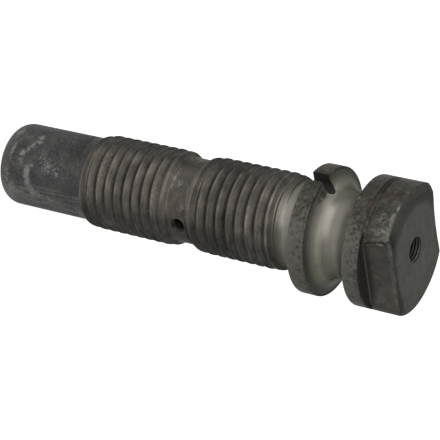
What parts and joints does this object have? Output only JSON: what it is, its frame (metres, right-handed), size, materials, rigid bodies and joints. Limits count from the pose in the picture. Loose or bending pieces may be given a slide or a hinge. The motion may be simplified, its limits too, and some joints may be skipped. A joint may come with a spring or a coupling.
{
  "type": "threaded spring pin",
  "caption": "Threaded leaf spring pin with a plain tail, a grease groove and outlet, a notched collar, a clamp groove and a head with two wrench flats.",
  "frame": {"origin": "centre of the tail end face, on the axis of the pin", "axes": "+Z along the axis from the tail to the head, +X out of one wrench flat, -Y out through the lock notch in the collar"},
  "size_m": [0.05, 0.05, 0.18],
  "materials": {
    "steel": "turned and threaded steel, dark phosphated, with bare machined necks and worn rims"
  },
  "bodies": {
    "root": {"spring_pin": "steel"}
  },
  "joints": []
}
